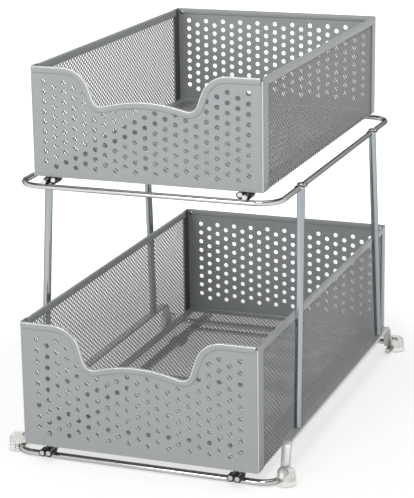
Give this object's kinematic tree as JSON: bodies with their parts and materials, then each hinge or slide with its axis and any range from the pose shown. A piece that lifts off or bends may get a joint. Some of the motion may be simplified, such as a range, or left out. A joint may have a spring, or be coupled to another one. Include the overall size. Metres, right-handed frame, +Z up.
{
  "type": "under sink organizer",
  "caption": "Tiered under-sink organizer: tubular wire frame with perforated metal baskets that slide out to the front, scooped front panels and mesh sides.",
  "frame": {"origin": "on the floor, under the middle of the organizer", "axes": "+Z up, -Y to the front, the way the baskets pull out, +X to the right seen from the front"},
  "size_m": [0.312, 0.474, 0.399],
  "materials": {
    "sheet_steel": "satin silver powder coat",
    "mesh_steel": "satin silver powder coat on expanded metal",
    "wire_steel": "bright plated wire",
    "frame_steel": "smooth silver coat",
    "screw_steel": "bright zinc plate",
    "black_nylon": "satin",
    "clear_vinyl": "clear, slightly milky"
  },
  "bodies": {
    "frame": {"base_rod_front": "wire_steel", "base_rod_rear": "wire_steel", "base_screws": "screw_steel", "base_side_left": "frame_steel", "base_side_right": "frame_steel", "foot_front_left": "clear_vinyl", "foot_front_right": "clear_vinyl", "foot_rear_left": "clear_vinyl", "foot_rear_right": "clear_vinyl", "loop_screws": "screw_steel", "lower_front_guide_left": "black_nylon", "lower_front_guide_right": "black_nylon", "lower_rail_left": "wire_steel", "lower_rail_right": "wire_steel", "post_front_left": "frame_steel", "post_front_right": "frame_steel", "post_rear_left": "frame_steel", "post_rear_right": "frame_steel", "upper_front_guide_left": "black_nylon", "upper_front_guide_right": "black_nylon", "upper_loop": "wire_steel", "upper_rail_left": "wire_steel", "upper_rail_right": "wire_steel"},
    "upper_basket": {"upper_back_guide_left": "black_nylon", "upper_back_guide_right": "black_nylon", "upper_basket_back_panel": "sheet_steel", "upper_basket_floor_mesh": "mesh_steel", "upper_basket_floor_seam": "sheet_steel", "upper_basket_front_panel": "sheet_steel", "upper_basket_left_mesh": "mesh_steel", "upper_basket_left_rim": "sheet_steel", "upper_basket_left_runner": "wire_steel", "upper_basket_right_mesh": "mesh_steel", "upper_basket_right_rim": "sheet_steel", "upper_basket_right_runner": "wire_steel"},
    "lower_basket": {"lower_back_guide_left": "black_nylon", "lower_back_guide_right": "black_nylon", "lower_basket_back_panel": "sheet_steel", "lower_basket_floor_mesh": "mesh_steel", "lower_basket_floor_seam": "sheet_steel", "lower_basket_front_panel": "sheet_steel", "lower_basket_hangers": "wire_steel", "lower_basket_left_mesh": "mesh_steel", "lower_basket_left_rim": "sheet_steel", "lower_basket_left_runner": "wire_steel", "lower_basket_right_mesh": "mesh_steel", "lower_basket_right_rim": "sheet_steel", "lower_basket_right_runner": "wire_steel"}
  },
  "joints": [
    {"name": "upper_basket_slide", "type": "slide", "parent": "frame", "child": "upper_basket", "axis": [0, -1, 0], "range_m": [0, 0.29]},
    {"name": "lower_basket_slide", "type": "slide", "parent": "frame", "child": "lower_basket", "axis": [0, -1, 0], "range_m": [0, 0.34]}
  ]
}
